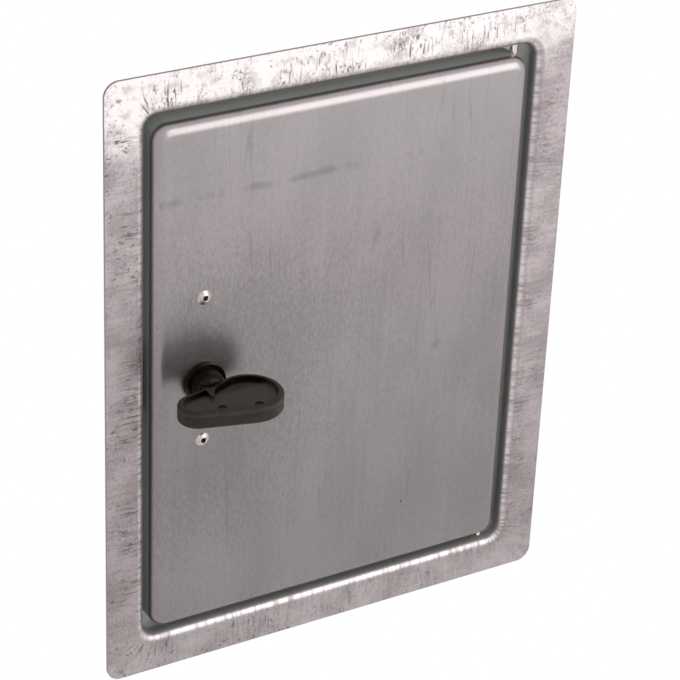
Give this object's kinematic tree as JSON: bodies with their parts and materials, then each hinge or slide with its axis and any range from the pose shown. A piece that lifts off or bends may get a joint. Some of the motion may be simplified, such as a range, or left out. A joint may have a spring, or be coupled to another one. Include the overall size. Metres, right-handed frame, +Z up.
{
  "type": "inspection hatch",
  "caption": "Recessed galvanised steel inspection hatch with a flanged frame, a pressed door hinged on vertical pins and a black wing handle that turns a latch.",
  "frame": {"origin": "centre of the frame's opening, on the face of the wall, which is the rear face of the flange", "axes": "+X to the right seen from the room, towards the hinges; +Y into the wall; +Z up"},
  "size_m": [0.2, 0.065, 0.258],
  "materials": {
    "frame_zinc": "hot-dip galvanised sheet with a soft spangle, small dark flecks and satin sheen",
    "door_zinc": "galvanised sheet with a fine vertical rolling grain, satin to semi-gloss",
    "bracket_zinc": "zinc plated, satin, slightly dull",
    "bright_steel": "bright zinc plated turned steel",
    "spring_steel": "oil-hardened spring steel, dark satin",
    "rivet_aluminium": "bright rolled heads",
    "mandrel_steel": "dull broken steel",
    "bush_plastic": "dull moulded nylon",
    "seal_rubber": "matt black sheet rubber",
    "handle_plastic": "moulded, satin wing with glossy neck and base"
  },
  "bodies": {
    "frame": {"frame": "frame_zinc", "keeper": "bracket_zinc", "hinge_pin_upper": "bright_steel", "hinge_pin_lower": "bright_steel"},
    "door": {"door": "door_zinc", "lock_bridge": "bracket_zinc", "rivet_bodies": "rivet_aluminium", "rivet_mandrels": "mandrel_steel", "spindle_bush": "bush_plastic", "seal_washer": "seal_rubber"},
    "handle": {"handle": "handle_plastic", "spindle": "bright_steel", "disc_spring": "spring_steel", "latch": "bracket_zinc", "latch_washer": "bright_steel", "split_washer": "spring_steel", "latch_nut": "bright_steel"}
  },
  "joints": [
    {"name": "door_hinge", "type": "hinge", "parent": "frame", "child": "door", "pos_m": [0.0754, 0.0036, 0], "axis": [0, 0, 1], "range_deg": [0, 110]},
    {"name": "handle_turn", "type": "hinge", "parent": "door", "child": "handle", "pos_m": [-0.06, 0, 0], "axis": [0, 1, 0], "range_deg": [0, 90]}
  ]
}
